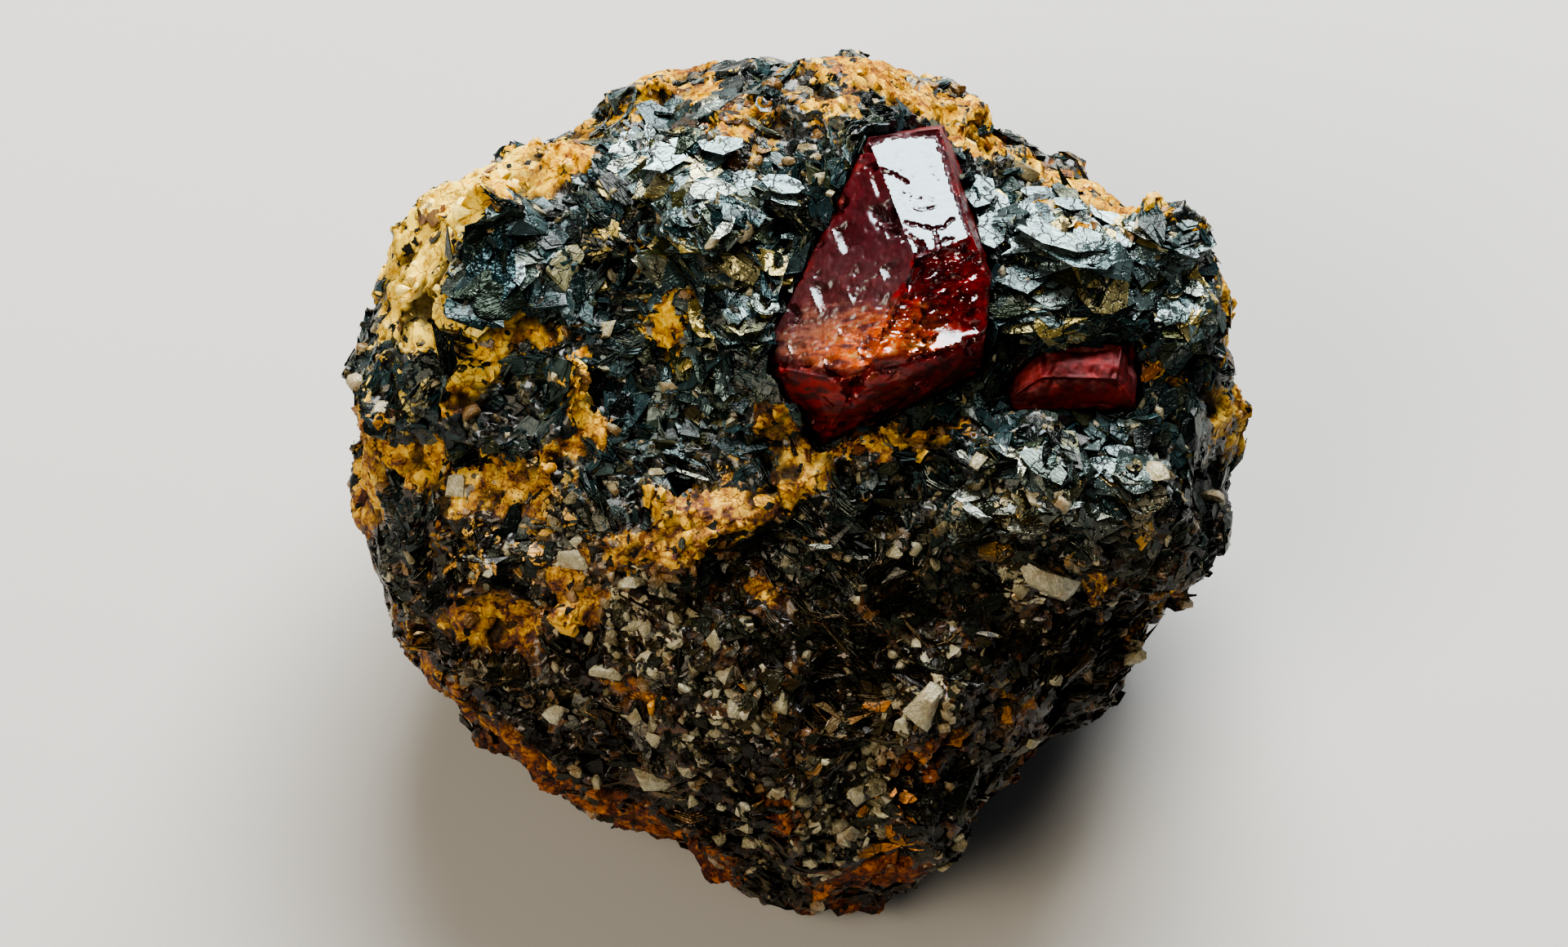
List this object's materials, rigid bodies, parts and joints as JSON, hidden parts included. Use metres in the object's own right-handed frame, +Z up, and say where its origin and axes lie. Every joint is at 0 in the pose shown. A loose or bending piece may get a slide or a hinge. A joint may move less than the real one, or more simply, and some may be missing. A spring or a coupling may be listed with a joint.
{
  "type": "zircon on matrix",
  "caption": "Mineral specimen: a rough chunk of dark mica rock, flat underneath, with red crystals standing out of its leaning face.",
  "frame": {"origin": "on the resting surface, under the middle of the specimen's box", "axes": "+Z up from the flat resting break, +X across the crystal face; that face leans up and towards -Y"},
  "size_m": [0.0504, 0.047, 0.0363],
  "materials": {
    "biotite_rock": "rough broken rock of glossy black-green mica flakes, ochre iron-stained feldspar and pale grains",
    "zircon": "deep red-brown, glassy, translucent, with small pits, growth steps and inner cracks"
  },
  "bodies": {
    "root": {"matrix": "biotite_rock", "large_zircon": "zircon", "small_zircon": "zircon"}
  },
  "joints": []
}
